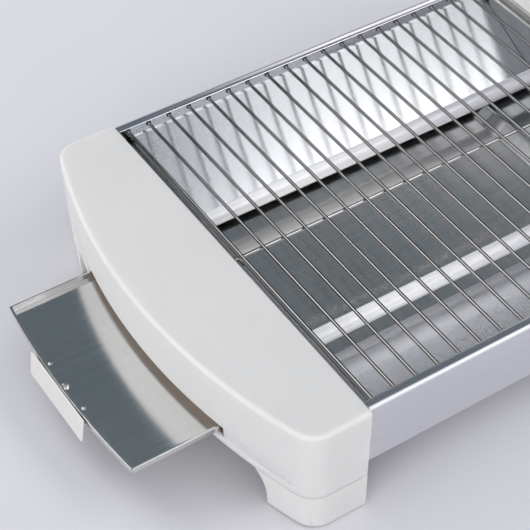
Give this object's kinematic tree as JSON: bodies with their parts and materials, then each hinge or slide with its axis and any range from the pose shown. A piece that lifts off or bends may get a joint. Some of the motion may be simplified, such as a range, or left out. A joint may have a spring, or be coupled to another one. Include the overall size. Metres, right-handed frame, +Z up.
{
  "type": "horizontal toaster",
  "caption": "Flat-top toaster: a wire rack over quartz heater tubes and slanted reflectors, between moulded end caps on arched feet, with a timer knob and a slide-out crumb tray.",
  "frame": {"origin": "on the table plane under the centre of the part's own box, with the crumb tray partly drawn out", "axes": "+X along the rack towards the control end, +Y towards the rear, +Z up from the table"},
  "size_m": [0.4692, 0.264, 0.077],
  "materials": {
    "white_plastic": "satin moulded",
    "satin_steel": "satin",
    "polished_steel": "bright rolled",
    "zinc_sheet": "spangled zinc",
    "chrome_wire": "polished",
    "quartz": "milky quartz",
    "heater_alloy": "oxidised alloy wire",
    "ceramic": "unglazed",
    "screw_steel": "zinc plated",
    "lead_sleeve": "silicone sleeve",
    "dark_plastic": "matte moulded",
    "lamp_lens": "tinted clear",
    "rubber": "matte"
  },
  "bodies": {
    "toaster": {"left_end_cap": "white_plastic", "right_end_cap": "white_plastic", "left_base": "white_plastic", "right_base": "white_plastic", "front_panel": "satin_steel", "rear_panel": "satin_steel", "left_end_plate": "polished_steel", "right_end_plate": "polished_steel", "bottom_plate": "zinc_sheet", "tray_guides": "zinc_sheet", "front_reflector": "zinc_sheet", "rear_reflector": "zinc_sheet", "rack_wires": "chrome_wire", "rack_cross_wire": "chrome_wire", "front_quartz_tube": "quartz", "rear_quartz_tube": "quartz", "front_heating_coil": "heater_alloy", "rear_heating_coil": "heater_alloy", "tube_holders": "ceramic", "heater_terminals": "screw_steel", "left_link_lead": "lead_sleeve", "right_leads": "lead_sleeve", "timer_body": "dark_plastic", "timer_screws": "screw_steel", "pilot_lamp": "dark_plastic", "pilot_lens": "lamp_lens", "terminal_block": "ceramic", "terminal_screws": "screw_steel", "cord_gland": "dark_plastic", "foot_pads": "rubber", "base_screws": "screw_steel", "bottom_screws": "screw_steel"},
    "tray": {"crumb_tray": "polished_steel", "tray_handle": "white_plastic", "tray_rivets": "screw_steel", "tray_screw": "screw_steel"},
    "knob": {"timer_shaft": "screw_steel", "timer_knob": "white_plastic"}
  },
  "joints": [
    {"name": "tray_slide", "type": "slide", "parent": "toaster", "child": "tray", "axis": [-1, 0, 0], "range_m": [-0.0495, 0.295]},
    {"name": "timer_knob_turn", "type": "hinge", "parent": "toaster", "child": "knob", "pos_m": [0.21855, 0, 0.0478], "axis": [-1, 0, 0], "range_deg": [0, 300]}
  ]
}
